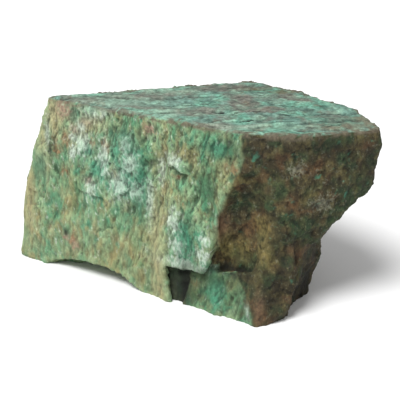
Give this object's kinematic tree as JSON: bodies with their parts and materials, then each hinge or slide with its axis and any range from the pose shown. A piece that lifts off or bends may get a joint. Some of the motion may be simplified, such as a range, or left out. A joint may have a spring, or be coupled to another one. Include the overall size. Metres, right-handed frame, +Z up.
{
  "type": "nephrite jade rock",
  "caption": "Rough natural block of green nephrite jade with a flat slaty top, a long green face, a brown broken end and an undercut foot.",
  "frame": {"origin": "middle of the bounding box's lowest face, on the ground that the rock rests on", "axes": "+Z up, +X along the longest side, and -Y towards the long green face and the foot"},
  "size_m": [0.2002, 0.1342, 0.0987],
  "materials": {
    "nephrite": "rough weathered break, green with brown rind"
  },
  "bodies": {
    "root": {"jade_rock": "nephrite"}
  },
  "joints": []
}
